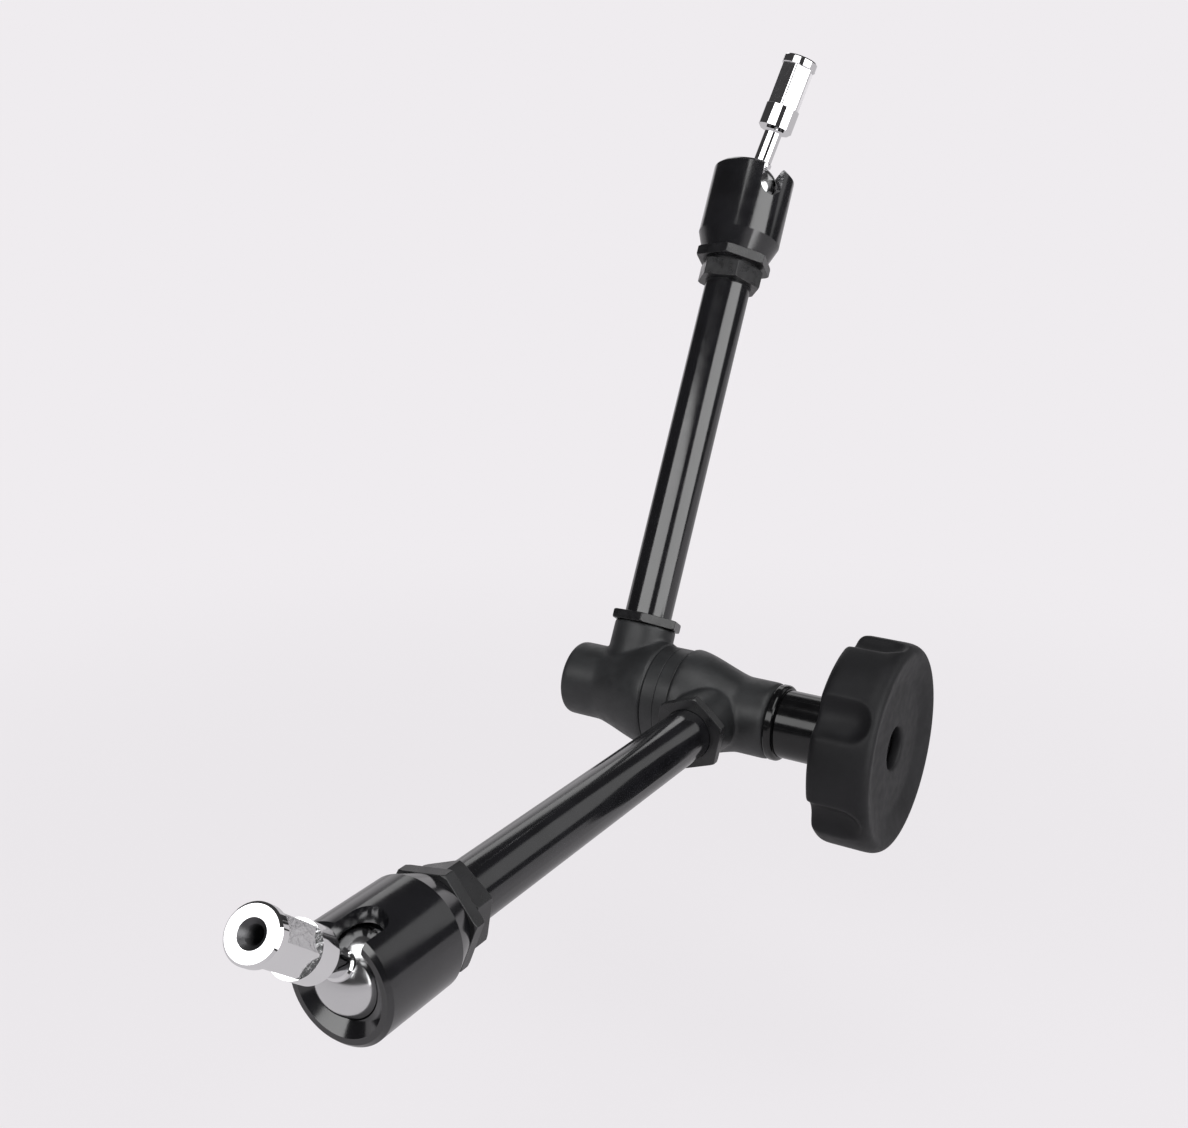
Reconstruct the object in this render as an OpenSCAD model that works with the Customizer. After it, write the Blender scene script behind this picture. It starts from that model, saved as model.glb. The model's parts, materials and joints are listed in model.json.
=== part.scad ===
// Articulating friction arm: two equal arms on one elbow, locked by a single knob.
// The knob draws a bolt through the elbow. Two cones ride up against the push rods,
// which press a pad on the ball at each far end while the elbow rings are clamped.

/* [Pose] */
// Angle between the two arms, degrees
elbow_angle = 115.5; // [60:0.5:180]
// Lean of the lower spigot away from its arm, degrees
lower_tilt = 40; // [0:1:40]
// Lean of the upper spigot away from its arm, degrees
upper_tilt = 17; // [0:1:40]
// Direction of the lower cup slot round its arm, degrees from the knob side
lower_slot_turn = 77; // [0:1:180]
// Direction of the upper cup slot round its arm, degrees from the knob side
upper_slot_turn = -36; // [-90:1:90]
// Turn of the lower spigot about its own axis, degrees
lower_spigot_turn = 44; // [0:1:359]
// Turn of the upper spigot about its own axis, degrees
upper_spigot_turn = 25; // [0:1:359]

/* [Arm tubes] */
// Outer diameter of each tube
tube_d = 20.8; // [19:0.1:22]
// Wall of each tube
tube_wall = 2; // [1:0.1:3]
// Free length of tube between its two hex collars
tube_free = 155.5; // [80:0.5:240]
// How far the tube is screwed into the elbow and into the end fitting
tube_grip = 13; // [10:0.5:15]
// Diameter of the push rod inside each tube
rod_d = 9; // [7:0.1:10]

/* [Hex collars] */
// Metal between the tube and the flats of the collar at the elbow
flange_nut_wall = 3.6; // [2:0.1:5]
// Thickness of the collar at the elbow
flange_nut_t = 4; // [3:0.5:8]
// Metal between the tube and the flats of the end fitting
end_hex_wall = 2.6; // [1.5:0.1:3]
// Thickness of the end fitting's hexagon
end_hex_t = 8; // [5:0.5:12]
// Gap between the end fitting's hexagon and the lock nut
end_neck = 1.2; // [0.5:0.1:3]
// Metal between the thread and the flats of the lock nut
lock_nut_wall = 2.4; // [1.5:0.1:5]
// Thickness of the lock nut
lock_nut_t = 4.5; // [3:0.5:8]
// Chamfer on the corners of the hexagons
hex_chamfer = 0.8; // [0.2:0.1:1.5]
// Turn of the lower elbow collar's corners, degrees
lower_flange_turn = 20; // [0:1:59]
// Turn of the lower end fitting's corners, degrees
lower_fitting_turn = 22; // [0:1:59]
// Turn of the lower lock nut's corners, degrees
lower_lock_turn = 10; // [0:1:59]
// Turn of the upper elbow collar's corners, degrees
upper_flange_turn = 46; // [0:1:59]
// Turn of the upper end fitting's corners, degrees
upper_fitting_turn = 5; // [0:1:59]
// Turn of the upper lock nut's corners, degrees
upper_lock_turn = 42; // [0:1:59]

/* [Ball cups] */
// Wall of the cup round the ball
cup_wall = 5.6; // [4.5:0.1:7]
// Wall of the cup where it meets the lock nut
cup_rear_wall = 2.4; // [1.5:0.1:4]
// Length of the tapered rear of the cup
cup_taper = 8; // [4:0.5:12]
// Depth from the ball centre back to the rear face of the cup
cup_back = 31.5; // [28:0.5:36]
// Depth from the ball centre forward to the rim
cup_front = 8.9; // [7.5:0.1:9]
// Bevel round the rim
rim_bevel = 1.3; // [0.5:0.1:1.5]
// Width of the flat rim between the bevel and the flared mouth
rim_w = 1.9; // [0.8:0.1:2]
// Angle from the arm to the lip that holds the ball, degrees
lip_angle = 63; // [62:0.5:64]
// Gap between the spigot's shoulder and each side of the slot, when it is folded
slot_gap = 0.8; // [0.5:0.1:1.5]

/* [Balls and spigots] */
// Diameter of the steel ball
ball_d = 25.4; // [24:0.1:26]
// Diameter of the spigot's round collar and flange
spigot_d = 15.875; // [14:0.005:17]
// Depth of the six flats below the round collar
flat_depth = 1.14; // [0.9:0.02:2]
// Diameter of the spigot's neck
neck_d = 8.2; // [7:0.1:8.6]
// How far the small shoulder at the ball stands out from the neck
shoulder_rim = 0.6; // [0.2:0.1:0.7]
// Distance from the ball centre to the round collar
neck_reach = 28.8; // [26:0.1:36]
// Length of the round collar
collar_l = 11; // [6:0.5:15]
// Length of the six-sided body
hex_l = 18.7; // [12:0.1:24]
// Thickness of the end flange
flange_t = 4; // [2:0.1:6]
// Core diameter of the quarter inch threaded hole
thread_core_d = 5.2; // [5.1:0.1:6]
// Depth of the threaded hole
thread_depth = 15; // [8:0.5:20]
// Depth of the countersink at the mouth of the threaded hole
countersink = 1.3; // [0.5:0.1:2]
// How far the tenon that carries the ball is set in from the neck
tenon_step = 0.6; // [0.2:0.1:1.5]
// Length of the tenon inside the ball
tenon_l = 9; // [6:0.5:14]

/* [Elbow] */
// Bore of the housings, which guides the cones
cone_bore_d = 22.2; // [21:0.1:23]
// Wall of the housings round that bore
housing_wall = 5; // [4:0.1:7]
// Diameter of the housings at the joint between them
mouth_housing_d = 46; // [44:0.5:52]
// How far the friction rings are set in from the housings
ring_inset = 1.1; // [0.1:0.1:3]
// Thickness of each friction ring
ring_t = 6.1; // [4:0.1:8]
// Metal between the boss of each housing and the joint between the housings
joint_wall = 2.45; // [1:0.05:5]
// How far each housing runs on past its boss, along the spindle
housing_reach = 11.9; // [11:0.1:20]
// Extra length of the closed housing, past the length of the open one
closed_extra = 1.7; // [-0.5:0.1:6]
// Wall of the boss that the tube is screwed into
boss_wall = 3.2; // [2.5:0.1:5]
// How far the boss stands out from the widest part of the housing
boss_stand = 5.5; // [5:0.5:11]
// Diameter of the draw bolt
bolt_d = 10; // [8:0.1:11]
// How far the flats of the bolt head stand out from the bolt
bolt_head_rim = 3.5; // [2.5:0.1:4]
// Thickness of the bolt head
bolt_head_t = 8; // [5:0.5:8.5]
// Slope of the cones, degrees
cone_slope = 24; // [18:1:28]

/* [Knob] */
// Diameter of the knob
knob_d = 84.8; // [70:0.2:100]
// Thickness of the knob from its back to the crest of its face
knob_t = 25.2; // [24:0.2:36]
// How far the crest of the face stands in from the rim
knob_round = 3.6; // [3:0.1:5.5]
// Radius that rounds the rim of the knob at the back
knob_back_round = 3.5; // [2:0.5:8]
// Diameter of the sunk disc in the face
face_d = 54; // [40:0.5:60]
// Depth of the sunk disc below the crest
dish_depth = 3.2; // [2:0.2:6]
// Number of finger grooves
groove_n = 6; // [4:1:8]
// Radius of a finger groove
groove_r = 10.5; // [7:0.5:12]
// Depth of a finger groove
groove_depth = 4.8; // [2:0.2:6]
// Turn of the first groove, degrees from the lower arm
groove_turn = 32; // [0:1:60]
// Distance from the front end of a groove to the crest of the face
groove_stop = 2; // [2:0.2:9]
// Diameter of the hole in the middle of the knob
knob_hole_d = 17; // [13:0.5:18]
// Wall of the collar between the knob and the elbow, outside the guiding sleeve
collar_step = 3.1; // [2:0.1:5]
// Free length of that collar
collar_free = 25; // [12:0.5:30]
// Thickness of the washer at the elbow
washer_t = 4; // [1:0.1:5]

/* [Fits] */
// Radial clearance of a running fit
run_fit = 0.06; // [0.02:0.01:0.09]
// Clearance between curved faces that move past each other
free_fit = 0.3; // [0.25:0.05:0.4]
// Radial clearance of a screwed joint
screw_fit = 0.02; // [0.01:0.01:0.05]
// Travel of each cone from locked to free
cone_travel = 1.125; // [0.5:0.005:1.3]

/* [Hidden] */
$fn = 96;

black_metal = [0.07, 0.07, 0.075];
black_cast = [0.13, 0.13, 0.135];
black_rubber = [0.15, 0.15, 0.155];
bright = [0.86, 0.87, 0.88];
satin = [0.68, 0.69, 0.70];

// Length by which a cut runs past the face it opens
over = 1;
// Length by which two parts of one piece run into each other
into = 0.5;

// Elbow sizes
boss_d = tube_d + 2 * boss_wall;
boss_end = mouth_housing_d / 2 + boss_stand;
mouth_at = boss_d / 2 + joint_wall;
seam = mouth_at + ring_t;
arm_gap = 2 * seam;
seam_gap = 0.05;
housing_d = cone_bore_d + 2 * housing_wall;
housing_end = boss_d / 2 + housing_reach;
ring_d = mouth_housing_d - 2 * ring_inset;
bolt_head_r = (bolt_d + 2 * bolt_head_rim) / sqrt(3);
end_bevel = 1.6;
mouth_bevel = 0.6;
waist_share = 0.4;
side_steps = 10;

// Ball cup sizes
ball_r = ball_d / 2;
ball_fit = 0.4;
cup_bore_r = ball_r + ball_fit;
cup_r = cup_bore_r + cup_wall;
cup_rear_r = cup_bore_r + cup_rear_wall;
mouth_r = cup_r - rim_bevel - rim_w;
lip_r = (ball_r + free_fit) * sin(lip_angle);
lip_h = (ball_r + free_fit) * cos(lip_angle);
lip_back = 3;
shoulder_d = neck_d + 2 * shoulder_rim;
slot_w = shoulder_d + 2 * slot_gap;

// Stations along an arm, measured from the spindle
tube_from = boss_end - tube_grip;
tube_out = boss_end + flange_nut_t;
hex_from = tube_out + tube_free;
hex_to = hex_from + end_hex_t;
nut_from = hex_to + end_neck;
nut_to = nut_from + lock_nut_t;
ball_at = nut_to + cup_back;
tube_to = hex_from + tube_grip;
neck_inset = 0.8;

// Pressure pad, measured from the ball
pad_back = 3.5;
pad_rim = 3.5;
pad_dish = 6.5;
bear_angle = 40;
shank_to = ball_at - ball_r - pad_back;

// Spigot stations, measured from the ball centre
spigot_r = spigot_d / 2;
flats_r = spigot_r - flat_depth;
corner_cut = 0.3;
tenon_r = neck_d / 2 - tenon_step;
tenon_from = ball_r - tenon_l;
tenon_gap = 0.5;
seat_gap = 0.1;
shoulder_l = 1.4;
spigot_bevel = 0.7;
collar_to = neck_reach + collar_l;
hex_end = collar_to + hex_l;
spigot_end = hex_end + flange_t;
thread_from = spigot_end - countersink;
countersink_d = thread_core_d + 2.2 * countersink;

// Cones and push rods
cone_len = 20;
cone_back = 12.7;
cone_flat = 6.7;
cone_nose_l = 3.4;
cone_big_r = cone_bore_d / 2 - run_fit;
cone_taper_l = cone_len - cone_flat - cone_nose_l;
cone_nose_r = cone_big_r - cone_taper_l * tan(cone_slope);
cone_mid_r = cone_big_r - (cone_back - cone_flat) * tan(cone_slope);
rod_r = rod_d / 2;
rod_gap = 0.15;
rod_tip = cone_mid_r + (rod_r + rod_gap) / cos(cone_slope);
bolt_r = bolt_d / 2;
bolt_run_r = bolt_r + run_fit;
bolt_room = cone_travel + 0.4;

// Knob stations, measured along the spindle from the lower arm
washer_at = housing_end;
washer_r = housing_d / 2 - 0.2;
washer_bevel = washer_t / 4;
collar_at = washer_at + washer_t;
collar_r = cone_big_r + collar_step;
knob_at = collar_at + collar_free;
knob_r = knob_d / 2;
crest_r = knob_r - knob_round;
collar_sink = 5;
insert_at = knob_at + collar_sink + 0.1;
insert_l = 12;
insert_d = knob_hole_d + 5;
bolt_end = insert_at + insert_l - 1;
back_start_r = collar_r + 6;
rim_stretch = 1.5;
face_bend = 1.2;
face_steps = 6;

// Where the lower thread begins, at the foot of its countersink, which is the origin of the part
mouth_point = [thread_from * sin(lower_tilt) * cos(lower_slot_turn),
               -(ball_at + thread_from * cos(lower_tilt)),
               thread_from * sin(lower_tilt) * sin(lower_slot_turn)];

// Moves a piece that is drawn round the elbow into the part's own frame
module in_part_frame() {
    translate(-mouth_point) children();
}

// Stands a piece that is drawn along +Z on the lower arm
module on_lower_arm() {
    in_part_frame() rotate([90, 0, 0]) children();
}

// Stands a piece that is drawn along +Z on the upper arm
module on_upper_arm() {
    in_part_frame() translate([-arm_gap, 0, 0]) rotate([90 - elbow_angle, 0, 0]) children();
}

// Lays a piece that is drawn along +Z on the spindle, with +Z towards the knob
module on_spindle(from = 0) {
    in_part_frame() translate([from, 0, 0]) rotate([0, 90, 0]) children();
}

// Puts a piece that is drawn along +Z on a ball that leans towards its slot
module on_ball(slot_turn, tilt, own_turn = 0) {
    translate([0, 0, ball_at]) rotate([0, 0, slot_turn]) rotate([0, tilt, 0]) rotate([0, 0, own_turn])
        children();
}

// Hexagonal prism with its corners turned down on both faces
module hex_disc(flat_r, t) {
    corner_r = 2 * flat_r / sqrt(3);
    rise = hex_chamfer * 0.6;
    intersection() {
        cylinder(r = corner_r, h = t, $fn = 6);
        rotate_extrude() polygon([[0, 0], [corner_r - hex_chamfer, 0], [corner_r, rise],
                                  [corner_r, t - rise], [corner_r - hex_chamfer, t], [0, t]]);
    }
}

module tube_shape() {
    length = tube_to - tube_from;
    translate([0, 0, tube_from]) difference() {
        cylinder(d = tube_d, h = length);
        translate([0, 0, -over]) cylinder(d = tube_d - 2 * tube_wall, h = length + 2 * over);
    }
}

module flange_nut_shape(turn) {
    translate([0, 0, boss_end]) rotate([0, 0, turn]) difference() {
        hex_disc(tube_d / 2 + flange_nut_wall, flange_nut_t);
        translate([0, 0, -over]) cylinder(r = tube_d / 2 + screw_fit, h = flange_nut_t + 2 * over);
    }
}

// Hexagon and threaded shank, bored for the tube and for the push rod
module end_fitting_shape(turn) {
    flat_r = tube_d / 2 + end_hex_wall;
    difference() {
        union() {
            translate([0, 0, hex_from]) rotate([0, 0, turn]) hex_disc(flat_r, end_hex_t);
            translate([0, 0, hex_to - into]) cylinder(r = flat_r - neck_inset, h = end_neck + into);
            translate([0, 0, nut_from]) cylinder(r = cup_bore_r - screw_fit, h = shank_to - nut_from);
        }
        translate([0, 0, hex_from - over]) cylinder(r = tube_d / 2 + screw_fit, h = tube_grip + over);
        translate([0, 0, hex_from]) cylinder(r = rod_r + run_fit, h = shank_to - hex_from + over);
    }
}

module lock_nut_shape(turn) {
    translate([0, 0, nut_from]) rotate([0, 0, turn]) difference() {
        hex_disc(cup_bore_r + lock_nut_wall, lock_nut_t);
        translate([0, 0, -over]) cylinder(r = cup_bore_r, h = lock_nut_t + 2 * over);
    }
}

// Turned cup: tapered rear, straight wall, lip over the ball and flared mouth, with one slot
module cup_shape(turn) {
    difference() {
        translate([0, 0, ball_at]) rotate_extrude() polygon([
            [cup_bore_r, -cup_back], [cup_rear_r, -cup_back],
            [cup_r, -cup_back + cup_taper], [cup_r, cup_front - rim_bevel],
            [cup_r - rim_bevel, cup_front], [mouth_r, cup_front],
            [lip_r, lip_h], [cup_bore_r, lip_back]]);
        translate([0, 0, ball_at]) rotate([0, 0, turn]) {
            translate([0, -slot_w / 2, 0]) cube([2 * cup_r, slot_w, 2 * cup_r]);
            rotate([0, 90, 0]) cylinder(d = slot_w, h = 2 * cup_r);
        }
    }
}

// Pad behind the ball, hollowed to a cone that the ball bears on
module pressure_pad_shape() {
    pad_r = cup_bore_r - run_fit;
    touch = (ball_r + free_fit) * [sin(bear_angle), -cos(bear_angle)];
    slope = [cos(bear_angle), sin(bear_angle)];
    outer = touch + pad_rim * slope;
    inner = touch - pad_dish * slope;
    back = shank_to - ball_at + free_fit;
    translate([0, 0, ball_at]) rotate_extrude() polygon([
        [0, back], [pad_r, back], [pad_r, outer[1]], outer, inner, [0, inner[1]]]);
}

// Rod with a round tip that rests on its cone
module push_rod_shape() {
    translate([0, 0, rod_tip]) {
        sphere(r = rod_r);
        cylinder(r = rod_r, h = shank_to - rod_tip);
    }
}

module ball_shape() {
    difference() {
        sphere(r = ball_r);
        translate([0, 0, tenon_from - tenon_gap]) cylinder(r = tenon_r + run_fit, h = ball_r);
    }
}

// Spigot turned from one bar, with six flats milled on its body
module spigot_shape() {
    seat = ball_r + seat_gap;
    shoulder_to = ball_r + shoulder_l;
    difference() {
        union() {
            rotate_extrude() polygon([
                [0, tenon_from], [tenon_r, tenon_from], [tenon_r, seat],
                [shoulder_d / 2, seat], [shoulder_d / 2, shoulder_to],
                [neck_d / 2, shoulder_to + into], [neck_d / 2, neck_reach - spigot_bevel],
                [spigot_r - 2 * spigot_bevel, neck_reach], [spigot_r, neck_reach + 2 * spigot_bevel],
                [spigot_r, collar_to], [flats_r, collar_to], [flats_r, hex_end],
                [spigot_r - spigot_bevel / 2, hex_end], [spigot_r, hex_end + spigot_bevel / 2],
                [spigot_r, spigot_end - spigot_bevel], [spigot_r - spigot_bevel, spigot_end],
                [0, spigot_end]]);
            intersection() {
                translate([0, 0, collar_to - into])
                    cylinder(r = 2 * flats_r / sqrt(3), h = hex_l + 2 * into, $fn = 6);
                translate([0, 0, collar_to - into])
                    cylinder(r = spigot_r - corner_cut, h = hex_l + 2 * into);
            }
        }
        translate([0, 0, spigot_end - thread_depth])
            cylinder(d = thread_core_d, h = thread_depth + over);
        translate([0, 0, thread_from])
            cylinder(d1 = thread_core_d, d2 = countersink_d, h = countersink + 0.01);
    }
}

// Half of the elbow, drawn with its arm along +Z and the joint between the halves at -X
module housing_shape(closed) {
    end_at = closed ? housing_end + closed_extra : housing_end;
    bore_to = closed ? cone_back + bolt_room : end_at + over;
    end_r = housing_d / 2;
    wide_r = mouth_housing_d / 2;
    difference() {
        union() {
            rotate([0, 90, 0]) rotate_extrude() polygon(concat(
                [[0, -mouth_at], [wide_r - mouth_bevel, -mouth_at], [wide_r, mouth_bevel - mouth_at]],
                housing_side(wide_r, end_r, end_at * waist_share),
                [[end_r, end_at - end_bevel], [end_r - end_bevel / 3, end_at - end_bevel / 3],
                 [end_r - end_bevel, end_at], [0, end_at]]));
            cylinder(d = boss_d, h = boss_end);
        }
        rotate([0, 90, 0]) translate([0, 0, -mouth_at - over])
            cylinder(d = cone_bore_d, h = mouth_at + over + bore_to);
        if (closed) rotate([0, 90, 0]) translate([0, 0, -mouth_at])
            cylinder(r = bolt_head_r + 0.1, $fn = 6, h = mouth_at + cone_back + bolt_head_t + bolt_room);
        translate([0, 0, tube_from]) cylinder(r = tube_d / 2 + screw_fit, h = boss_end);
        cylinder(r = rod_r + run_fit, h = boss_end);
    }
}

// Bell-shaped side of a housing, from its mouth down to its round end
function housing_side(wide_r, end_r, waist_at) =
    let (from = 2 * mouth_bevel - mouth_at, run = waist_at - from, flare = 1.35, sink = 0.45)
    [for (i = [1 : side_steps]) let (t = i / side_steps)
        [end_r + (wide_r - end_r) * (1 - pow(t, flare)) * (1 - sink * pow(t, 2)), from + run * t]];

module friction_ring_shape() {
    difference() {
        cylinder(d = ring_d, h = ring_t - seam_gap / 2);
        translate([0, 0, -over]) cylinder(d = cone_bore_d + 2, h = ring_t + 2 * over);
    }
}

// Cone drawn with its wide end at z = 0 and its nose along +Z
module cone_shape() {
    rotate_extrude() polygon([
        [bolt_run_r, 0], [cone_big_r, 0], [cone_big_r, cone_flat],
        [cone_nose_r, cone_flat + cone_taper_l], [cone_nose_r, cone_len], [bolt_run_r, cone_len]]);
}

module lower_spigot() {
    color(bright) on_lower_arm() on_ball(lower_slot_turn, lower_tilt, lower_spigot_turn) spigot_shape();
}
module lower_ball() { color(satin) on_lower_arm() on_ball(lower_slot_turn, lower_tilt) ball_shape(); }
module lower_pressure_pad() { color(satin) on_lower_arm() pressure_pad_shape(); }
module lower_push_rod() { color(satin) on_lower_arm() push_rod_shape(); }
module lower_cup() { color(black_metal) on_lower_arm() cup_shape(lower_slot_turn); }
module lower_lock_nut() { color(black_metal) on_lower_arm() lock_nut_shape(lower_lock_turn); }
module lower_end_fitting() { color(black_metal) on_lower_arm() end_fitting_shape(lower_fitting_turn); }
module lower_tube() { color(black_metal) on_lower_arm() tube_shape(); }
module lower_flange_nut() { color(black_metal) on_lower_arm() flange_nut_shape(lower_flange_turn); }
module lower_elbow_housing() { color(black_cast) on_lower_arm() housing_shape(false); }
module lower_friction_ring() { color(black_metal) on_spindle(-seam + seam_gap / 2) friction_ring_shape(); }
module lower_cone() { color(satin) on_spindle(cone_back) mirror([0, 0, 1]) cone_shape(); }

module upper_spigot() {
    color(bright) on_upper_arm() on_ball(upper_slot_turn, upper_tilt, upper_spigot_turn) spigot_shape();
}
module upper_ball() { color(satin) on_upper_arm() on_ball(upper_slot_turn, upper_tilt) ball_shape(); }
module upper_pressure_pad() { color(satin) on_upper_arm() pressure_pad_shape(); }
module upper_push_rod() { color(satin) on_upper_arm() push_rod_shape(); }
module upper_cup() { color(black_metal) on_upper_arm() cup_shape(upper_slot_turn); }
module upper_lock_nut() { color(black_metal) on_upper_arm() lock_nut_shape(upper_lock_turn); }
module upper_end_fitting() { color(black_metal) on_upper_arm() end_fitting_shape(upper_fitting_turn); }
module upper_tube() { color(black_metal) on_upper_arm() tube_shape(); }
module upper_flange_nut() { color(black_metal) on_upper_arm() flange_nut_shape(upper_flange_turn); }
module upper_elbow_housing() { color(black_cast) on_upper_arm() mirror([1, 0, 0]) housing_shape(true); }
module upper_friction_ring() { color(black_metal) on_spindle(-seam - ring_t) friction_ring_shape(); }
module upper_cone() { color(satin) on_spindle(-arm_gap - cone_back) cone_shape(); }

// Bolt with its hexagon head in the closed housing and its thread in the knob
module draw_bolt() {
    color(satin) on_upper_arm() translate([-cone_back, 0, 0]) rotate([0, 90, 0]) {
        translate([0, 0, -bolt_head_t]) cylinder(r = bolt_head_r, h = bolt_head_t, $fn = 6);
        cylinder(r = bolt_r, h = arm_gap + cone_back + bolt_end);
    }
}

module thrust_washer() {
    color(black_rubber) on_spindle(washer_at) difference() {
        rotate_extrude() polygon([[0, 0], [washer_r, 0], [washer_r, washer_t - washer_bevel],
                                  [washer_r - washer_bevel, washer_t], [0, washer_t]]);
        translate([0, 0, -over]) cylinder(r = cone_big_r + screw_fit, h = washer_t + 2 * over);
    }
}

// Collar with a long sleeve that pushes the lower cone
module knob_collar() {
    sink_to = knob_at + collar_sink;
    color(black_metal) on_spindle() difference() {
        union() {
            translate([0, 0, cone_back]) cylinder(r = cone_big_r, h = collar_at - cone_back + into);
            translate([0, 0, collar_at]) cylinder(r = collar_r, h = sink_to - collar_at);
        }
        translate([0, 0, cone_back - over]) cylinder(r = bolt_run_r, h = sink_to - cone_back + 2 * over);
    }
}

// Threaded bush moulded into the knob
module knob_insert() {
    color(black_metal) on_spindle(insert_at) difference() {
        cylinder(d = insert_d, h = insert_l);
        translate([0, 0, -over]) cylinder(r = bolt_run_r, h = insert_l + 2 * over);
    }
}

// Soft outline of the knob from its back, over the rim and the crest, to the edge of the sunk disc
function knob_outline() = concat(
    [[back_start_r, 0]],
    [for (a = [-90 : 15 : 0])
        [knob_r - knob_back_round * (1 - cos(a)), knob_back_round * (1 + sin(a))]],
    [for (a = [0 : 9 : 90])
        [knob_r - knob_round * (1 - cos(a)), knob_t - rim_stretch * knob_round * (1 - sin(a))]],
    [for (i = [1 : face_steps]) let (t = i / face_steps)
        [crest_r - t * (crest_r - face_d / 2), knob_t - dish_depth * pow(t, face_bend)]]);

module knob() {
    groove_at = knob_r + groove_r - groove_depth;
    rim_reach = sqrt(groove_r * groove_r - pow(groove_r - groove_depth, 2));
    groove_to = knob_t - groove_stop - rim_reach;
    color(black_rubber) on_spindle(knob_at) difference() {
        rotate_extrude() polygon(concat([[0, 0]], knob_outline(), [[0, knob_t - dish_depth]]));
        for (i = [0 : groove_n - 1])
            rotate([0, 0, 180 - groove_turn + i * 360 / groove_n]) translate([0, groove_at, 0]) {
                translate([0, 0, -over]) cylinder(r = groove_r, h = groove_to + over);
                translate([0, 0, groove_to]) sphere(r = groove_r);
            }
        translate([0, 0, -over]) cylinder(r = collar_r + free_fit, h = collar_sink + over + 0.1);
        translate([0, 0, insert_at - knob_at]) cylinder(d = insert_d, h = insert_l);
        cylinder(d = knob_hole_d, h = knob_t);
    }
}

lower_spigot();
lower_ball();
lower_pressure_pad();
lower_push_rod();
lower_cup();
lower_lock_nut();
lower_end_fitting();
lower_tube();
lower_flange_nut();
lower_elbow_housing();
lower_friction_ring();
lower_cone();
upper_spigot();
upper_ball();
upper_pressure_pad();
upper_push_rod();
upper_cup();
upper_lock_nut();
upper_end_fitting();
upper_tube();
upper_flange_nut();
upper_elbow_housing();
upper_friction_ring();
upper_cone();
draw_bolt();
thrust_washer();
knob_collar();
knob_insert();
knob();
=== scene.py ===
import bpy
import bmesh
import json
from math import cos, pi, radians, sin
from mathutils import Matrix, Vector


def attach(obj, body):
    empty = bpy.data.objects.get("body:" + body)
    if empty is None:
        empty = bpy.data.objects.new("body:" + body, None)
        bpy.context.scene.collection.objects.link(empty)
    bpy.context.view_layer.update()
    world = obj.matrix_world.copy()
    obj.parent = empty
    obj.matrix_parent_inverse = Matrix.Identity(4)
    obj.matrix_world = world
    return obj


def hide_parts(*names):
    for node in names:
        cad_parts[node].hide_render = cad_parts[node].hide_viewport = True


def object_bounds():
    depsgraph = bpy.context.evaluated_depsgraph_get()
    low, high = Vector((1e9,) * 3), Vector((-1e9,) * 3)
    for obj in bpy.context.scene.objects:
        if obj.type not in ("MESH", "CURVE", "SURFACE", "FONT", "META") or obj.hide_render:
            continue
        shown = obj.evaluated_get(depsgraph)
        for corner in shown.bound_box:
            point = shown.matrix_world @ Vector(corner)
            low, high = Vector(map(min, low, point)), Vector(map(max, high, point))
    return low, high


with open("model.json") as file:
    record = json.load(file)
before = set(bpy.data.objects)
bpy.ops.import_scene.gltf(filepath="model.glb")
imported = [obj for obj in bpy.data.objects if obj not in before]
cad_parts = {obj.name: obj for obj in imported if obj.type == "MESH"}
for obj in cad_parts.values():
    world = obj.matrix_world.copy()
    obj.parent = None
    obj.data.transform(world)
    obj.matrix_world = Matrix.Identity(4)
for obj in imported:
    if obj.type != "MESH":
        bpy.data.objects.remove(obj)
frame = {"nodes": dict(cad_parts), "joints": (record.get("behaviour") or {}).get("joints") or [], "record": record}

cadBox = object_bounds()
joints = {j["name"]: j for j in frame["joints"]}
millimetre = 0.001


def jointPlace(name):
    return Vector(joints[name]["pos_m"])


def jointAxis(name):
    return Vector(joints[name]["axis"]).normalized()


elbowPoint = jointPlace("elbow_fold")
spindleAxis = jointAxis("elbow_fold")
# Each arm runs from the elbow to its ball, and each spigot from its ball outwards
armAxis = {"lower": jointAxis("lower_ball_swivel"), "upper": jointAxis("upper_ball_swivel")}
ballPoint = {"lower": jointPlace("lower_spigot_spin"), "upper": jointPlace("upper_spigot_spin")}
spigotAxis = {"lower": -jointAxis("lower_spigot_spin"), "upper": jointAxis("upper_spigot_spin")}
leanAxis = {"lower": -jointAxis("lower_ball_lean"), "upper": jointAxis("upper_ball_lean")}


# Camera, placed from the elbow, with pixels of the photograph's whole frame
cameraLook = {
    "fromElbow": (0.22629, -0.49133, 0.21533),
    "right": (0.87246, 0.48790, 0.02763),
    "ahead": (-0.46314, 0.84358, -0.27181),
    "focalPixels": 1363.8,
    "frameSize": (1188, 1128),
    "centrePixel": (636.0, 563.7),
    "sensorWidth": 36,
    "nearest": 0.01,
    "farthest": 20,
}


def makeCamera(look):
    width, height = look["frameSize"]
    cam = bpy.data.cameras.new("camera")
    cam.sensor_fit = "HORIZONTAL"
    cam.sensor_width = look["sensorWidth"]
    cam.lens = look["sensorWidth"] * look["focalPixels"] / width
    cam.shift_x = (width / 2 - look["centrePixel"][0]) / width
    cam.shift_y = (look["centrePixel"][1] - height / 2) / width
    cam.clip_start = look["nearest"]
    cam.clip_end = look["farthest"]
    right = Vector(look["right"]).normalized()
    back = -Vector(look["ahead"]).normalized()
    up = back.cross(right).normalized()
    turn = Matrix((right, up, back)).transposed()
    obj = bpy.data.objects.new("camera", cam)
    bpy.context.scene.collection.objects.link(obj)
    obj.matrix_world = Matrix.Translation(elbowPoint + Vector(look["fromElbow"])) @ turn.to_4x4()
    bpy.context.scene.camera = obj


makeCamera(cameraLook)
print("camera placed")


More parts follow.
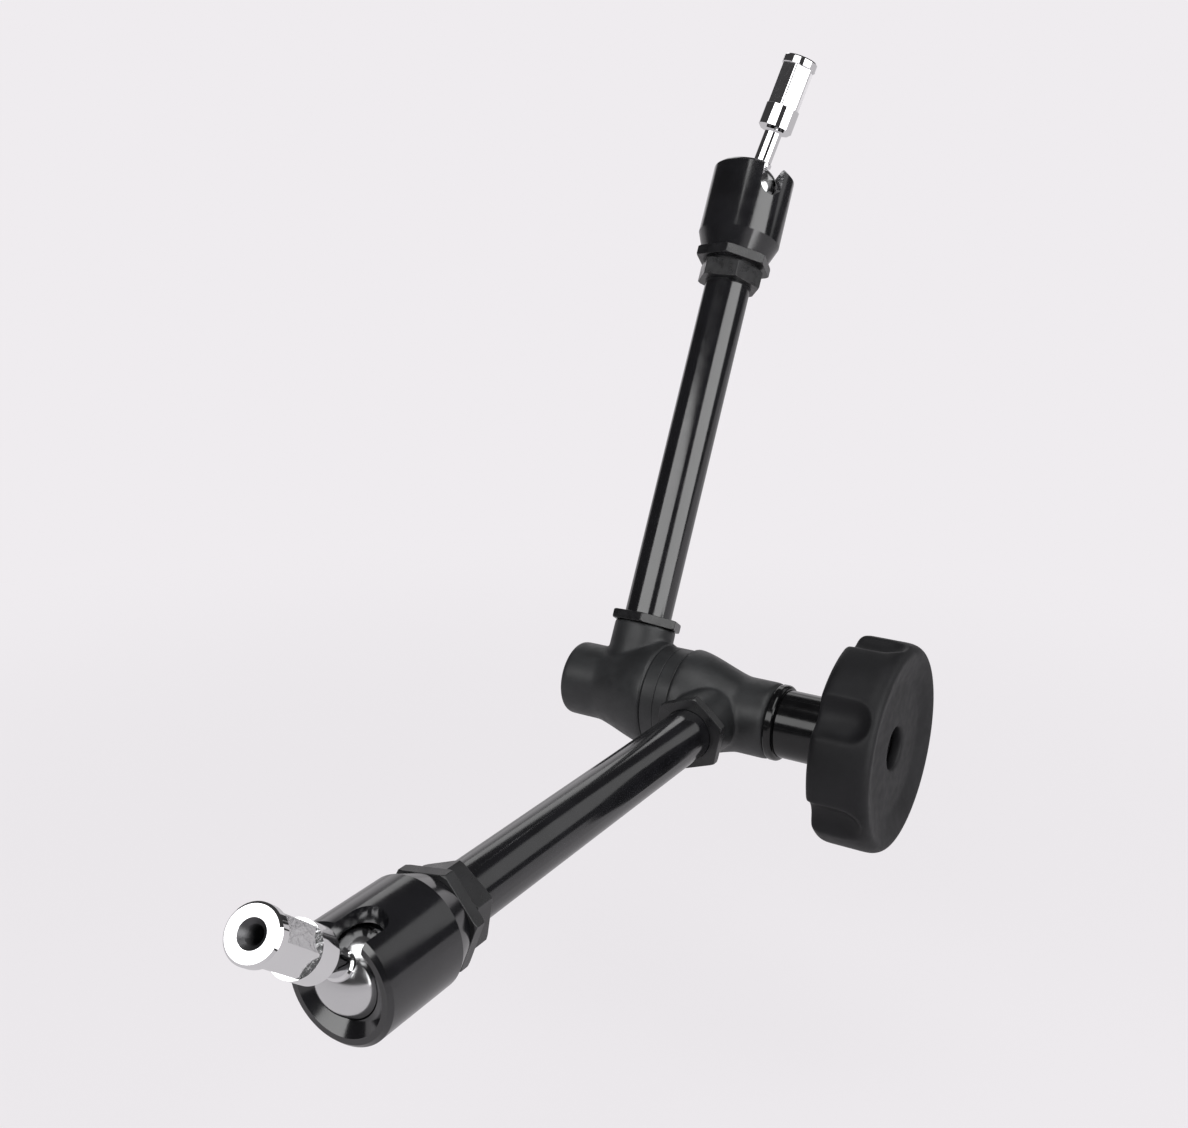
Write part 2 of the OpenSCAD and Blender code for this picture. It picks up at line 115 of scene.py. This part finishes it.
# Material helpers: how fine each noise goes, and which part of its range a finish uses
noiseLook = {"gleamDetail": 4, "gleamFrom": 0.3, "gleamTo": 0.7, "patchDetail": 5, "patchStops": (0.35, 0.68),
             "lineDistortion": 0.6, "lineDetail": 2, "lineDetailScale": 3}
mixSockets = {"first": 6, "second": 7, "result": 2}    # where a mix of two colours has them


def newMaterial(name):
    mat = bpy.data.materials.new(name)
    mat.use_nodes = True
    tree = mat.node_tree
    return mat, tree, tree.nodes["Principled BSDF"]


def addNode(tree, kind, **values):
    node = tree.nodes.new(kind)
    for key, value in values.items():
        if key in node.inputs:
            node.inputs[key].default_value = value
        else:
            setattr(node, key, value)
    return node


def mathNode(tree, operation, *values):
    # Each value is a number or a socket
    node = addNode(tree, "ShaderNodeMath", operation=operation)
    for socket, value in zip(node.inputs, values):
        if isinstance(value, (int, float)):
            socket.default_value = value
        else:
            tree.links.new(value, socket)
    return node.outputs[0]


def mixedColour(tree, share, first, second):
    mix = addNode(tree, "ShaderNodeMix", data_type="RGBA")
    tree.links.new(share, mix.inputs["Factor"])
    mix.inputs[mixSockets["first"]].default_value = (*first, 1)
    mix.inputs[mixSockets["second"]].default_value = (*second, 1)
    return mix.outputs[mixSockets["result"]]


def objectCoords(tree):
    return addNode(tree, "ShaderNodeTexCoord").outputs["Object"]


def turnedCoords(tree, axis, centre):
    # Object coordinates, turned so that Z runs from the centre along the axis
    mapping = addNode(tree, "ShaderNodeMapping", vector_type="POINT")
    turn = axis.rotation_difference(Vector((0, 0, 1)))
    mapping.inputs["Rotation"].default_value = turn.to_euler()
    mapping.inputs["Location"].default_value = -(turn @ centre)
    tree.links.new(objectCoords(tree), mapping.inputs["Vector"])
    return mapping.outputs["Vector"]


def noise(tree, scale, detail):
    node = addNode(tree, "ShaderNodeTexNoise", Scale=scale, Detail=detail)
    tree.links.new(objectCoords(tree), node.inputs["Vector"])
    return node.outputs["Fac"]


def driftingGleam(tree, bsdf, look):
    # Roughness that drifts between its lowest and its highest value
    low, high = look["roughness"]
    ramp = addNode(tree, "ShaderNodeMapRange")
    ramp.inputs["From Min"].default_value = noiseLook["gleamFrom"]
    ramp.inputs["From Max"].default_value = noiseLook["gleamTo"]
    ramp.inputs["To Min"].default_value = low
    ramp.inputs["To Max"].default_value = high
    tree.links.new(noise(tree, look["gleamScale"], noiseLook["gleamDetail"]), ramp.inputs["Value"])
    tree.links.new(ramp.outputs["Result"], bsdf.inputs["Roughness"])
    return ramp.outputs["Result"]


def driftingColour(tree, bsdf, look):
    # Patches of two near shades
    ramp = addNode(tree, "ShaderNodeValToRGB")
    shades = (look["dark"], look["light"])
    for stop, place, shade in zip(ramp.color_ramp.elements, noiseLook["patchStops"], shades):
        stop.position = place
        stop.color = (*shade, 1)
    tree.links.new(noise(tree, look["patchScale"], noiseLook["patchDetail"]), ramp.inputs["Fac"])
    tree.links.new(ramp.outputs["Color"], bsdf.inputs["Base Color"])


def bumpFrom(tree, height, layer, bsdf, under=None):
    # A layer's depth is in millimetres
    bump = addNode(tree, "ShaderNodeBump", Strength=layer["bump"], Distance=layer["depth"] * millimetre)
    tree.links.new(height, bump.inputs["Height"])
    if under is not None:
        tree.links.new(under, bump.inputs["Normal"])
    tree.links.new(bump.outputs["Normal"], bsdf.inputs["Normal"])
    return bump.outputs["Normal"]


def grain(tree, layer, bsdf, under=None):
    return bumpFrom(tree, noise(tree, layer["scale"], layer["detail"]), layer, bsdf, under)


def turnedLines(tree, layer, bsdf, axis, centre):
    # Fine rings round the axis, as a lathe leaves them
    wave = addNode(tree, "ShaderNodeTexWave", wave_type="BANDS", bands_direction="Z", Scale=layer["scale"],
                   Distortion=noiseLook["lineDistortion"], Detail=noiseLook["lineDetail"])
    wave.inputs["Detail Scale"].default_value = noiseLook["lineDetailScale"]
    tree.links.new(turnedCoords(tree, axis, centre), wave.inputs["Vector"])
    bumpFrom(tree, wave.outputs["Fac"], layer, bsdf)


def blackSkin(name, look):
    # The start of every black finish: its colour, its gloss and how they drift
    mat, tree, bsdf = newMaterial(name)
    driftingColour(tree, bsdf, look)
    driftingGleam(tree, bsdf, look)
    bsdf.inputs["Specular IOR Level"].default_value = look["specular"]
    return mat, tree, bsdf


def bareMetal(name, look):
    # The start of every bright finish
    mat, tree, bsdf = newMaterial(name)
    bsdf.inputs["Metallic"].default_value = 1
    bsdf.inputs["Base Color"].default_value = (*look["colour"], 1)
    return mat, tree, bsdf


# Finishes, as the object shows them: scales per metre, depths and margins in millimetres
anodisedLook = {
    "dark": (0.0060, 0.0060, 0.0070), "light": (0.0100, 0.0100, 0.0118), "patchScale": 60,
    "roughness": (0.11, 0.16), "gleamScale": 180, "specular": 1.0,
    "lines": {"scale": 900, "bump": 0.04, "depth": 0.02},
}
castLook = {
    "dark": (0.0165, 0.0172, 0.0182), "light": (0.0260, 0.0270, 0.0285), "patchScale": 90,
    "roughness": (0.38, 0.50), "gleamScale": 220, "specular": 0.50,
    "coarse": {"scale": 270, "detail": 2, "bump": 0.10, "depth": 0.2},
    "peel": {"scale": 900, "detail": 2, "bump": 0.22, "depth": 0.1},
}
nutLook = {
    "dark": (0.0080, 0.0080, 0.0088), "light": (0.0160, 0.0160, 0.0175), "patchScale": 160,
    "roughness": (0.24, 0.36), "gleamScale": 320, "specular": 0.60,
    "grain": {"scale": 1400, "detail": 2, "bump": 0.10, "depth": 0.06},
}
rubberLook = {
    "dark": (0.0070, 0.0070, 0.0080), "light": (0.0105, 0.0105, 0.0120), "patchScale": 70,
    "roughness": (0.48, 0.58), "gleamScale": 240, "specular": 0.28,
    "coarse": {"scale": 240, "detail": 2, "bump": 0.05, "depth": 0.3},
    "grain": {"scale": 2600, "detail": 2, "bump": 0.14, "depth": 0.05},
}
glossLook = {
    "dark": (0.0030, 0.0030, 0.0035), "light": (0.0060, 0.0060, 0.0066), "patchScale": 120,
    "roughness": (0.12, 0.18), "gleamScale": 260, "specular": 0.50,
    "grain": {"scale": 900, "detail": 2, "bump": 0.03, "depth": 0.06},
}
chromeLook = {
    "colour": (0.90, 0.90, 0.91), "roughness": (0.03, 0.07), "gleamScale": 400,
    "pits": {"scale": 700, "detail": 3, "bump": 0.03, "depth": 0.06},
    "ripple": {"scale": 700, "detail": 4, "bump": 0.6, "depth": 0.12}, "flatRoughness": 0.10,
    # The hole's colour, far darker than bare metal, is painted shade inside the threaded hole
    "holeShadeColour": (0.13, 0.13, 0.135), "holeRoughness": 0.35, "holeMargin": 0.05,
}
ballLook = {
    "colour": (0.74, 0.74, 0.75), "roughness": (0.14, 0.20), "gleamScale": 400,
    "pits": {"scale": 700, "detail": 3, "bump": 0.02, "depth": 0.06},
}
steelLook = {
    "colour": (0.62, 0.62, 0.63), "roughness": (0.20, 0.32), "gleamScale": 500,
    "lines": {"scale": 2200, "bump": 0.10, "depth": 0.03},
}


def anodised(name, look, axis, centre):
    mat, tree, bsdf = blackSkin(name, look)
    turnedLines(tree, look["lines"], bsdf, axis, centre)
    return mat


def castPaint(name, look):
    mat, tree, bsdf = blackSkin(name, look)
    coarse = grain(tree, look["coarse"], bsdf)
    grain(tree, look["peel"], bsdf, coarse)
    return mat


def fineGrained(name, look):
    mat, tree, bsdf = blackSkin(name, look)
    grain(tree, look["grain"], bsdf)
    return mat


def softRubber(name, look):
    mat, tree, bsdf = blackSkin(name, look)
    coarse = grain(tree, look["coarse"], bsdf)
    grain(tree, look["grain"], bsdf, coarse)
    return mat


def polishedBall(name, look):
    mat, tree, bsdf = bareMetal(name, look)
    driftingGleam(tree, bsdf, look)
    grain(tree, look["pits"], bsdf)
    return mat


def turnedMetal(name, look, axis, centre):
    mat, tree, bsdf = bareMetal(name, look)
    driftingGleam(tree, bsdf, look)
    turnedLines(tree, look["lines"], bsdf, axis, centre)
    return mat


def spigotChrome(name, look, spigot, axis, centre):
    # Bright plate that ripples on the milled flats and gives way in the threaded hole to rougher bare metal, whose
    # colour is darkened there as painted shade
    mat, tree, bsdf = bareMetal(name, look)
    gleam = driftingGleam(tree, bsdf, look)
    parts = addNode(tree, "ShaderNodeSeparateXYZ")
    tree.links.new(turnedCoords(tree, axis, centre), parts.inputs[0])
    acrossSquared = mathNode(tree, "POWER", parts.outputs["X"], 2)
    upSquared = mathNode(tree, "POWER", parts.outputs["Y"], 2)
    fromAxis = mathNode(tree, "SQRT", mathNode(tree, "ADD", acrossSquared, upSquared))
    along = parts.outputs["Z"]
    holeEdge = (spigot["countersinkRadius"] - look["holeMargin"]) * millimetre
    outside = mathNode(tree, "GREATER_THAN", fromAxis, holeEdge)
    behind = mathNode(tree, "LESS_THAN", along, spigot["boreTo"] * millimetre)
    plateOutsideShadedHole = mathNode(tree, "MAXIMUM", outside, behind)
    # Inside the countersink and threaded hole the colour is painted shade, darker than bare metal would be
    colour = mixedColour(tree, plateOutsideShadedHole, look["holeShadeColour"], look["colour"])
    tree.links.new(colour, bsdf.inputs["Base Color"])
    hexMiddle = (spigot["collarTo"] + spigot["hexTo"]) / 2 * millimetre
    hexHalf = (spigot["hexTo"] - spigot["collarTo"]) / 2 * millimetre
    onFlats = mathNode(tree, "COMPARE", along, hexMiddle, hexHalf)
    inHole = mathNode(tree, "SUBTRACT", 1, plateOutsideShadedHole)
    dullFlats = mathNode(tree, "MULTIPLY", onFlats, look["flatRoughness"])
    dullHole = mathNode(tree, "MULTIPLY", inHole, look["holeRoughness"])
    dull = mathNode(tree, "MAXIMUM", dullFlats, dullHole)
    tree.links.new(mathNode(tree, "ADD", gleam, dull), bsdf.inputs["Roughness"])
    pits = grain(tree, look["pits"], bsdf)
    waves = noise(tree, look["ripple"]["scale"], look["ripple"]["detail"])
    bumpFrom(tree, mathNode(tree, "MULTIPLY", waves, onFlats), look["ripple"], bsdf, pits)
    return mat


# Mesh helpers: lengths in millimetres, angles in degrees
meshLook = {"mergeWithin": 0.002, "smoothAngle": 9, "flatAngle": 0.4, "hardAngle": 32, "edgeSteps": 2,
            "edgeProfile": 0.5}


def cadMesh(node):
    # A joined-up working copy of a CAD node's mesh
    near = meshLook["mergeWithin"] * millimetre
    bm = bmesh.new()
    bm.from_mesh(frame["nodes"][node].data)
    bmesh.ops.remove_doubles(bm, verts=bm.verts, dist=near)
    bmesh.ops.dissolve_degenerate(bm, edges=bm.edges, dist=near)
    return bm


def meshObject(name, bm, material, smoothAngle=meshLook["smoothAngle"]):
    mesh = bpy.data.meshes.new(name)
    for face in bm.faces:
        face.smooth = True
    sharp = radians(smoothAngle)
    for edge in bm.edges:
        edge.smooth = len(edge.link_faces) == 2 and edge.calc_face_angle(0) < sharp
    bm.to_mesh(mesh)
    bm.free()
    # Shading normals of the mesh that it was copied from no longer fit it
    if "custom_normal" in mesh.attributes:
        mesh.attributes.remove(mesh.attributes["custom_normal"])
    mesh.materials.append(material)
    obj = bpy.data.objects.new(name, mesh)
    bpy.context.scene.collection.objects.link(obj)
    return obj


def standFor(obj, node):
    body = next(b for b, members in frame["record"]["behaviour"]["bodies"].items() if node in members)
    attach(obj, body)
    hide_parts(node)


def hardEdges(bm, angle):
    return [e for e in bm.edges if len(e.link_faces) == 2 and e.calc_face_angle(0) > radians(angle)]


def roundEdges(bm, edges, width):
    bmesh.ops.bevel(bm, geom=edges, offset=width, offset_type="OFFSET", segments=meshLook["edgeSteps"],
                    profile=meshLook["edgeProfile"], affect="EDGES", clamp_overlap=True, material=-1)


def softEdges(node, material, width):
    # The node's own form with its hard edges rounded, as turned and milled metal has them
    bm = cadMesh(node)
    bmesh.ops.dissolve_limit(bm, angle_limit=radians(meshLook["flatAngle"]), verts=bm.verts,
                             edges=bm.edges, use_dissolve_boundaries=False)
    roundEdges(bm, hardEdges(bm, meshLook["hardAngle"]), width * millimetre)
    manySided = [f for f in bm.faces if len(f.verts) > 4]
    bmesh.ops.triangulate(bm, faces=manySided)
    bmesh.ops.recalc_face_normals(bm, faces=bm.faces)
    standFor(meshObject(node + "_finished", bm, material), node)


def castForm(node, material, look):
    # The node's form with every inside corner filleted and every edge rounded, as a moulding has them
    bm = cadMesh(node)
    rough = meshObject(node + "_rough", bm, material)
    remesh = rough.modifiers.new("remesh", "REMESH")
    remesh.mode = "VOXEL"
    remesh.voxel_size = look["voxel"] * millimetre
    smooth = rough.modifiers.new("smooth", "SMOOTH")
    smooth.factor = look["smoothing"]
    smooth.iterations = look["passes"]
    graph = bpy.context.evaluated_depsgraph_get()
    mesh = bpy.data.meshes.new_from_object(rough.evaluated_get(graph), depsgraph=graph)
    bpy.data.objects.remove(rough)
    bm = bmesh.new()
    bm.from_mesh(mesh)
    bpy.data.meshes.remove(mesh)
    standFor(meshObject(node + "_finished", bm, material, look["smoothAngle"]), node)


# Spigot: lengths in millimetres, its stations measured from the middle of its ball, and angles in degrees
spigotLook = {
    "radius": 7.9375, "flatRadius": 6.7975, "cornerRadius": 7.6375, "sides": 6,
    "tenonRadius": 3.5, "tenonFrom": 3.7, "seat": 12.8,
    "shoulderRadius": 4.7, "shoulderTo": 14.1, "shoulderChamfer": 0.5, "neckRadius": 4.1, "neckTo": 28.1,
    "collarFrom": 28.8, "collarChamfer": 1.4, "collarTo": 39.8,
    "hexTo": 58.5, "flangeChamfer": 0.35, "endChamfer": 0.7, "end": 62.5,
    "countersinkRadius": 4.03, "countersink": 1.3, "boreRadius": 2.6, "boreTo": 47.5,
    "threadDepth": 0.55, "threadPitch": 1.27, "threadMargin": 0.1,
    "edge": 0.16, "hardAngle": 24, "steps": 96, "mergeWithin": 0.001, "reachMargin": 0.01,
    "turn": {"lower": 44, "upper": 25},
}


def spigotOutline(look):
    # Half section from the tenon, over the collar and the flange, and down the threaded hole
    full, bore = look["radius"], look["boreRadius"]
    tenon, shoulder, neck = look["tenonRadius"], look["shoulderRadius"], look["neckRadius"]
    corner, end = look["cornerRadius"], look["end"]
    outline = [
        (0, look["tenonFrom"]), (tenon, look["tenonFrom"]), (tenon, look["seat"]),
        (shoulder, look["seat"]), (shoulder, look["shoulderTo"]),
        (neck, look["shoulderTo"] + look["shoulderChamfer"]), (neck, look["neckTo"]),
        (full - look["collarChamfer"], look["collarFrom"]),
        (full, look["collarFrom"] + look["collarChamfer"]), (full, look["collarTo"]),
        (corner, look["collarTo"]), (corner, look["hexTo"]),
        (full - look["flangeChamfer"], look["hexTo"]), (full, look["hexTo"] + look["flangeChamfer"]),
        (full, end - look["endChamfer"]), (full - look["endChamfer"], end),
        (look["countersinkRadius"], end),
    ]
    station = end - look["countersink"]
    while station > look["boreTo"] + look["threadPitch"]:
        outline += [(bore, station), (bore + look["threadDepth"], station - look["threadPitch"] / 2)]
        station -= look["threadPitch"]
    return outline + [(bore, station), (bore, look["boreTo"]), (0, look["boreTo"])]


def millHexagon(bm, look):
    # The round body between the collar and the flange is pulled in to its flats
    margin, corner = look["reachMargin"], look["cornerRadius"]
    side = 2 * pi / look["sides"]
    for vert in bm.verts:
        reach = vert.co.xy.length
        onBody = look["collarTo"] - margin < vert.co.z < look["hexTo"] + margin
        if onBody and abs(reach - corner) < margin:
            fromFlat = (vert.co.xy.angle_signed(Vector((1, 0))) % side) - side / 2
            vert.co.xy *= min(look["flatRadius"] / cos(fromFlat), corner) / reach


def makeSpigot(side, look):
    # Turned from one bar, then milled to a hexagon between its collar and its flange
    bm = bmesh.new()
    points = [bm.verts.new((r, 0, z)) for r, z in spigotOutline(look)]
    line = [bm.edges.new(pair) for pair in zip(points, points[1:])]
    bmesh.ops.spin(bm, geom=points + line, cent=(0, 0, 0), axis=(0, 0, 1), dvec=(0, 0, 0),
                   angle=2 * pi, steps=look["steps"], use_merge=True, use_duplicate=False)
    bmesh.ops.remove_doubles(bm, verts=bm.verts, dist=look["mergeWithin"])
    millHexagon(bm, look)
    threadReach = look["boreRadius"] + look["threadDepth"] + look["threadMargin"]
    outer = [e for e in hardEdges(bm, look["hardAngle"])
             if min(v.co.xy.length for v in e.verts) > threadReach]
    roundEdges(bm, outer, look["edge"])
    bmesh.ops.recalc_face_normals(bm, faces=bm.faces)
    across = leanAxis[side].cross(spigotAxis[side])
    lean = Matrix((across, leanAxis[side], spigotAxis[side])).transposed().to_4x4()
    turn = Matrix.Rotation(radians(look["turn"][side]), 4, "Z")
    place = Matrix.Translation(ballPoint[side]) @ lean @ turn @ Matrix.Scale(millimetre, 4)
    bmesh.ops.transform(bm, matrix=place, verts=bm.verts)
    obj = meshObject(side + "_spigot_turned", bm, finish[side + "Chrome"])
    standFor(obj, side + "_spigot")


finish = {
    "cast": castPaint("castBlack", castLook),
    "nut": fineGrained("nutBlack", nutLook),
    "rubber": softRubber("knobRubber", rubberLook),
    "gloss": fineGrained("collarGloss", glossLook),
    "ball": polishedBall("ballSteel", ballLook),
    "spindleSteel": turnedMetal("spindleSteel", steelLook, spindleAxis, elbowPoint),
}
for side in ("lower", "upper"):
    finish[side + "Black"] = anodised(side + "Anodised", anodisedLook, armAxis[side], ballPoint[side])
    finish[side + "Chrome"] = spigotChrome(side + "Chrome", chromeLook, spigotLook, spigotAxis[side],
                                           ballPoint[side])
    finish[side + "Rod"] = turnedMetal(side + "RodSteel", steelLook, armAxis[side], ballPoint[side])
print("finishes made")

for side in ("lower", "upper"):
    makeSpigot(side, spigotLook)
print("spigots turned")

# Knob: soft moulding with finger grooves
knobLook = {"voxel": 0.6, "smoothing": 0.5, "passes": 36, "smoothAngle": 80}
castForm("knob", finish["rubber"], knobLook)
print("knob done")

# Elbow housings: castings whose bosses run into the round body
housingLook = {"voxel": 0.55, "smoothing": 0.5, "passes": 30, "smoothAngle": 80}
for side in ("lower", "upper"):
    castForm(side + "_elbow_housing", finish["cast"], housingLook)
print("elbow done")

# Turned and milled black parts: how far their edges are rounded, in millimetres
edgeLook = {"cup": 0.35, "nut": 0.22, "ring": 0.25, "collar": 0.3, "washer": 0.6}
for side in ("lower", "upper"):
    softEdges(side + "_cup", finish[side + "Black"], edgeLook["cup"])
    for piece in ("lock_nut", "end_fitting", "flange_nut"):
        softEdges(f"{side}_{piece}", finish["nut"], edgeLook["nut"])
    softEdges(side + "_friction_ring", finish["cast"], edgeLook["ring"])
softEdges("knob_collar", finish["gloss"], edgeLook["collar"])
softEdges("thrust_washer", finish["gloss"], edgeLook["washer"])
print("black parts done")


# Pieces whose CAD form is right keep it and take a finish
def dressNode(node, material):
    for slot in frame["nodes"][node].material_slots:
        slot.material = material


for side in ("lower", "upper"):
    dressNode(side + "_tube", finish[side + "Black"])
    dressNode(side + "_ball", finish["ball"])
    dressNode(side + "_pressure_pad", finish[side + "Rod"])
    dressNode(side + "_push_rod", finish[side + "Rod"])
    dressNode(side + "_cone", finish["spindleSteel"])
dressNode("draw_bolt", finish["spindleSteel"])
dressNode("knob_insert", finish["nut"])
print("plain nodes dressed")


# Studio: lengths in metres, and the sheet's edge in degrees from the camera's line of sight
stageLook = {
    "background": (0.863, 0.838, 0.863),
    "floorDrop": 0.12, "floorSize": 8.0, "shadowShare": 0.16, "fadeFrom": 0.30, "fadeTo": 0.95,
    "mirroredFloor": 0.62, "mirroredRoom": 0.05, "sheetEdge": (44, 30), "fill": 0.20,
}
# Each light: degrees to the side of the camera and above the level, its distance, its size and its power
lightLook = {
    "keyBox": {"turn": 55, "rise": 17, "away": 1.3, "size": (1.25, 1.27), "power": 14.5},
    "leftBox": {"turn": -38, "rise": 30, "away": 1.3, "size": (1.5, 0.6), "power": 8.2},
    "sideBox": {"turn": 117, "rise": 24, "away": 1.3, "size": (0.75, 0.7), "power": 1.0},
    "topBox": {"turn": 10, "rise": 78, "away": 1.3, "size": (0.9, 0.9), "power": 6},
    "backBox": {"turn": -178, "rise": 27, "away": 1.4, "size": (0.9, 0.3), "power": 1.0},
}


def seenBy(tree, *rays):
    # One for the rays that are named, and nought for the others
    path = addNode(tree, "ShaderNodeLightPath")
    seen = path.outputs[rays[0]]
    for ray in rays[1:]:
        seen = mathNode(tree, "MAXIMUM", seen, path.outputs[ray])
    return seen


def smoothRange(tree, value, start, end, low):
    # Rises smoothly from low to one
    ramp = addNode(tree, "ShaderNodeMapRange", interpolation_type="SMOOTHSTEP")
    tree.links.new(value, ramp.inputs["Value"])
    ramp.inputs["From Min"].default_value = start
    ramp.inputs["From Max"].default_value = end
    ramp.inputs["To Min"].default_value = low
    return ramp.outputs["Result"]


def makeWorld(look):
    # The backdrop is pale, and mirrors see it as a sheet behind the object with a dim room in front
    world = bpy.data.worlds.new("studio")
    bpy.context.scene.world = world
    world.use_nodes = True
    tree = world.node_tree
    tree.nodes.clear()
    coords = addNode(tree, "ShaderNodeTexCoord")
    ahead = addNode(tree, "ShaderNodeVectorMath", operation="DOT_PRODUCT")
    tree.links.new(coords.outputs["Generated"], ahead.inputs[0])
    ahead.inputs[1].default_value = Vector(cameraLook["ahead"]).normalized()
    dimFrom, paleFrom = (cos(radians(angle)) for angle in look["sheetEdge"])
    sheet = smoothRange(tree, ahead.outputs["Value"], dimFrom, paleFrom, look["mirroredRoom"])
    inMirror = mathNode(tree, "MULTIPLY", seenBy(tree, "Is Glossy Ray"), sheet)
    onObject = mathNode(tree, "MULTIPLY", seenBy(tree, "Is Diffuse Ray"), look["fill"])
    straight = seenBy(tree, "Is Camera Ray", "Is Transmission Ray")
    level = mathNode(tree, "MAXIMUM", mathNode(tree, "MAXIMUM", inMirror, onObject), straight)
    sky = addNode(tree, "ShaderNodeBackground", Color=(*look["background"], 1))
    out = addNode(tree, "ShaderNodeOutputWorld")
    tree.links.new(level, sky.inputs["Strength"])
    tree.links.new(sky.outputs[0], out.inputs["Surface"])


def floorPaper(look, middle):
    # Shows the backdrop's colour, a little darker in mirrors, and takes the object's shadow in the middle
    mat = bpy.data.materials.new("floorPaper")
    mat.use_nodes = True
    tree = mat.node_tree
    tree.nodes.clear()
    paper = addNode(tree, "ShaderNodeBsdfDiffuse", Color=(*look["background"], 1))
    glow = addNode(tree, "ShaderNodeEmission", Color=(*look["background"], 1))
    dimmer = mathNode(tree, "MULTIPLY", seenBy(tree, "Is Glossy Ray"), 1 - look["mirroredFloor"])
    tree.links.new(mathNode(tree, "SUBTRACT", 1, dimmer), glow.inputs["Strength"])
    coords = addNode(tree, "ShaderNodeTexCoord")
    reach = addNode(tree, "ShaderNodeVectorMath", operation="DISTANCE")
    tree.links.new(coords.outputs["Object"], reach.inputs[0])
    reach.inputs[1].default_value = middle
    fade = smoothRange(tree, reach.outputs["Value"], look["fadeFrom"], look["fadeTo"],
                       1 - look["shadowShare"])
    background = seenBy(tree, "Is Camera Ray", "Is Transmission Ray", "Is Glossy Ray")
    mix = addNode(tree, "ShaderNodeMixShader")
    out = addNode(tree, "ShaderNodeOutputMaterial")
    tree.links.new(mathNode(tree, "MULTIPLY", background, fade), mix.inputs["Fac"])
    tree.links.new(paper.outputs[0], mix.inputs[1])
    tree.links.new(glow.outputs[0], mix.inputs[2])
    tree.links.new(mix.outputs[0], out.inputs["Surface"])
    return mat


def makeFloor(look, middle):
    height = cadBox[0][2] - look["floorDrop"]
    bm = bmesh.new()
    bmesh.ops.create_grid(bm, x_segments=1, y_segments=1, size=look["floorSize"])
    bmesh.ops.translate(bm, verts=bm.verts, vec=(0, 0, height))
    meshObject("floor", bm, floorPaper(look, (middle.x, middle.y, height)))


def makeLight(name, look, middle):
    # Stands round the object, measured from the camera's side of it
    data = bpy.data.lights.new(name, "AREA")
    data.shape = "RECTANGLE"
    data.size, data.size_y = look["size"]
    data.energy = look["power"]
    obj = bpy.data.objects.new(name, data)
    bpy.context.scene.collection.objects.link(obj)
    toCamera = -Vector(cameraLook["ahead"])
    toCamera.z = 0
    level = Matrix.Rotation(radians(look["turn"]), 3, "Z") @ toCamera.normalized()
    away = level * cos(radians(look["rise"])) + Vector((0, 0, sin(radians(look["rise"]))))
    place = middle + away * look["away"]
    obj.matrix_world = Matrix.Translation(place) @ away.to_track_quat("Z", "Y").to_matrix().to_4x4()


middle = (Vector(cadBox[0]) + Vector(cadBox[1])) / 2
makeWorld(stageLook)
makeFloor(stageLook, middle)
for name, look in lightLook.items():
    makeLight(name, look, middle)
bpy.context.scene.view_settings.view_transform = "Standard"
print("studio lit")
